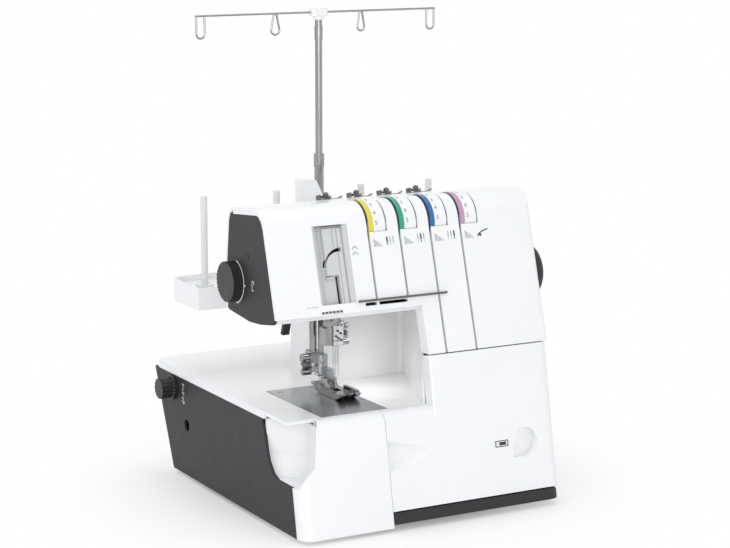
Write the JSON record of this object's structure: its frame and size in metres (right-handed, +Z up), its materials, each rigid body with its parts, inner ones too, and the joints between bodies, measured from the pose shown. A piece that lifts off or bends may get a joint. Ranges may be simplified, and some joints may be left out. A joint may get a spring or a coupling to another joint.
{
  "type": "coverstitch sewing machine",
  "caption": "Free-standing coverstitch (overlock family) sewing machine with tension dials, a hinged looper cover, presser foot and a telescopic thread stand.",
  "frame": {"origin": "on the table under the middle rubber foot, midway between the two side panels; the plane of the feet is z = 0", "axes": "+X towards the handwheel, -Y towards the operator, +Z up"},
  "size_m": [0.3645, 0.369, 0.514],
  "materials": {
    "white_plastic": "gloss white",
    "light_grey_plastic": "satin light grey",
    "dark_grey_plastic": "fine matte dark grey",
    "black_plastic": "satin black",
    "motor_paint": "satin",
    "black_steel": "blackened",
    "rubber": "matte",
    "cast_aluminium": "as cast",
    "yellow_band": "gloss",
    "green_band": "gloss",
    "blue_band": "gloss",
    "pink_band": "gloss",
    "lamp_lens": "translucent",
    "pin_plastic": "translucent white",
    "brushed_steel": "fine brushed",
    "bright_steel": "polished"
  },
  "bodies": {
    "machine": {"base_tray": "dark_grey_plastic", "rubber_feet": "rubber", "left_side_panel": "dark_grey_plastic", "right_side_panel": "white_plastic", "rear_base_cover": "white_plastic", "bed_cover": "white_plastic", "front_left_cover": "white_plastic", "needle_plate": "brushed_steel", "plate_screws": "brushed_steel", "main_frame": "cast_aluminium", "throat_cover": "white_plastic", "front_cover": "white_plastic", "rear_cover": "white_plastic", "head_end_cap": "dark_grey_plastic", "head_floor": "white_plastic", "lamp_lens": "lamp_lens", "take_up_cover": "light_grey_plastic", "tension_axle": "brushed_steel", "thread_guides": "bright_steel", "guide_rod": "bright_steel", "timing_belt": "rubber", "motor": "motor_paint", "drive_belt": "rubber", "power_inlet": "black_plastic", "spool_tray": "white_plastic", "spool_pins": "pin_plastic", "lower_pole": "bright_steel"},
    "cover_hinge_rod": {"looper_cover_hinge": "brushed_steel"},
    "looper_door": {"looper_cover": "white_plastic"},
    "tension_wheel_1": {"tension_dial_1": "white_plastic", "tension_band_1": "yellow_band"},
    "tension_wheel_2": {"tension_dial_2": "white_plastic", "tension_band_2": "green_band"},
    "tension_wheel_3": {"tension_dial_3": "white_plastic", "tension_band_3": "blue_band"},
    "tension_wheel_4": {"tension_dial_4": "white_plastic", "tension_band_4": "pink_band"},
    "take_up": {"take_up_lever": "brushed_steel"},
    "needle_group": {"needle_bar": "bright_steel", "needle_clamp": "bright_steel", "needles": "bright_steel", "needle_screws": "black_steel"},
    "presser_group": {"presser_bar": "bright_steel", "presser_spring": "brushed_steel", "foot_holder": "bright_steel"},
    "foot": {"presser_foot": "bright_steel"},
    "lifter": {"presser_lifter": "dark_grey_plastic"},
    "pressure_control": {"pressure_knob": "black_plastic"},
    "upper_drive": {"upper_shaft": "brushed_steel", "handwheel": "dark_grey_plastic"},
    "lower_drive": {"lower_shaft": "brushed_steel"},
    "motor_drive": {"motor_pulley": "brushed_steel"},
    "looper_arm": {"looper": "brushed_steel"},
    "feed": {"feed_dog": "brushed_steel"},
    "differential_control": {"differential_dial": "black_plastic"},
    "stitch_control": {"stitch_length_dial": "dark_grey_plastic"},
    "switch_rocker": {"power_switch": "black_plastic"},
    "mast_top": {"upper_pole": "bright_steel"},
    "thread_arm": {"thread_guide_hub": "white_plastic", "thread_guide_wire": "bright_steel"}
  },
  "joints": [
    {"name": "cover_slide", "type": "slide", "parent": "machine", "child": "cover_hinge_rod", "axis": [1, 0, 0], "range_m": [0, 0.009]},
    {"name": "cover_swing", "type": "hinge", "parent": "cover_hinge_rod", "child": "looper_door", "pos_m": [0.05, -0.17263, 0.027], "axis": [1, 0, 0], "range_deg": [0, 88]},
    {"name": "tension_1_turn", "type": "hinge", "parent": "machine", "child": "tension_wheel_1", "pos_m": [-0.033, -0.08658, 0.30092], "axis": [1, 0, 0], "range_deg": [-130, 130]},
    {"name": "tension_2_turn", "type": "hinge", "parent": "machine", "child": "tension_wheel_2", "pos_m": [0.0035, -0.08658, 0.30092], "axis": [1, 0, 0], "range_deg": [-130, 130]},
    {"name": "tension_3_turn", "type": "hinge", "parent": "machine", "child": "tension_wheel_3", "pos_m": [0.04, -0.08658, 0.30092], "axis": [1, 0, 0], "range_deg": [-130, 130]},
    {"name": "tension_4_turn", "type": "hinge", "parent": "machine", "child": "tension_wheel_4", "pos_m": [0.0765, -0.08658, 0.30092], "axis": [1, 0, 0], "range_deg": [-130, 130]},
    {"name": "needle_drive", "type": "slide", "parent": "machine", "child": "needle_group", "axis": [0, 0, 1], "range_m": [-0.028, 0]},
    {"name": "take_up_swing", "type": "hinge", "parent": "machine", "child": "take_up", "pos_m": [-0.0835, -0.096, 0.247], "axis": [1, 0, 0], "range_deg": [0, 30]},
    {"name": "lifter_swing", "type": "hinge", "parent": "machine", "child": "lifter", "pos_m": [-0.088, -0.029, 0.238], "axis": [1, 0, 0], "range_deg": [0, 45]},
    {"name": "presser_lift", "type": "slide", "parent": "machine", "child": "presser_group", "axis": [0, 0, 1], "range_m": [0, 0.0065]},
    {"name": "foot_tilt", "type": "hinge", "parent": "presser_group", "child": "foot", "pos_m": [-0.057, -0.052, 0.132], "axis": [1, 0, 0], "range_deg": [-12, 0]},
    {"name": "pressure_turn", "type": "hinge", "parent": "machine", "child": "pressure_control", "pos_m": [-0.166, -0.042, 0.247], "axis": [1, 0, 0], "range_deg": [-170, 170]},
    {"name": "main_spin", "type": "hinge", "parent": "machine", "child": "upper_drive", "pos_m": [0.15, -0.068, 0.232], "axis": [1, 0, 0], "continuous": true},
    {"name": "lower_spin", "type": "hinge", "parent": "machine", "child": "lower_drive", "pos_m": [0.05, -0.068, 0.062], "axis": [1, 0, 0], "continuous": true},
    {"name": "motor_spin", "type": "hinge", "parent": "machine", "child": "motor_drive", "pos_m": [0.11, -0.01, 0.062], "axis": [1, 0, 0], "continuous": true},
    {"name": "looper_swing", "type": "hinge", "parent": "machine", "child": "looper_arm", "pos_m": [-0.056, -0.054, 0.056], "axis": [0, 1, 0], "range_deg": [-12, 12]},
    {"name": "feed_move", "type": "slide", "parent": "machine", "child": "feed", "axis": [0, 1, 0], "range_m": [-0.002, 0.002]},
    {"name": "differential_turn", "type": "hinge", "parent": "machine", "child": "differential_control", "pos_m": [-0.16, 0.133, 0.097], "axis": [1, 0, 0], "range_deg": [-60, 60]},
    {"name": "stitch_turn", "type": "hinge", "parent": "machine", "child": "stitch_control", "pos_m": [0.16, -0.04, 0.11], "axis": [1, 0, 0], "range_deg": [-130, 130]},
    {"name": "switch_rock", "type": "hinge", "parent": "machine", "child": "switch_rocker", "pos_m": [0.1535, 0, 0.06], "axis": [0, 1, 0], "range_deg": [-8, 8]},
    {"name": "mast_slide", "type": "slide", "parent": "machine", "child": "mast_top", "axis": [0, 0, 1], "range_m": [-0.12, 0]},
    {"name": "guide_turn", "type": "hinge", "parent": "mast_top", "child": "thread_arm", "pos_m": [0.006, 0.088, 0.51], "axis": [0, 0, 1], "range_deg": [-90, 90]}
  ],
  "couplings": [
    {"joint": "take_up_swing", "follows": "needle_drive", "rad_per_m": -18},
    {"joint": "lifter_swing", "follows": "presser_lift", "rad_per_m": 120},
    {"joint": "lower_spin", "follows": "main_spin", "ratio": 1},
    {"joint": "motor_spin", "follows": "main_spin", "ratio": 4}
  ]
}
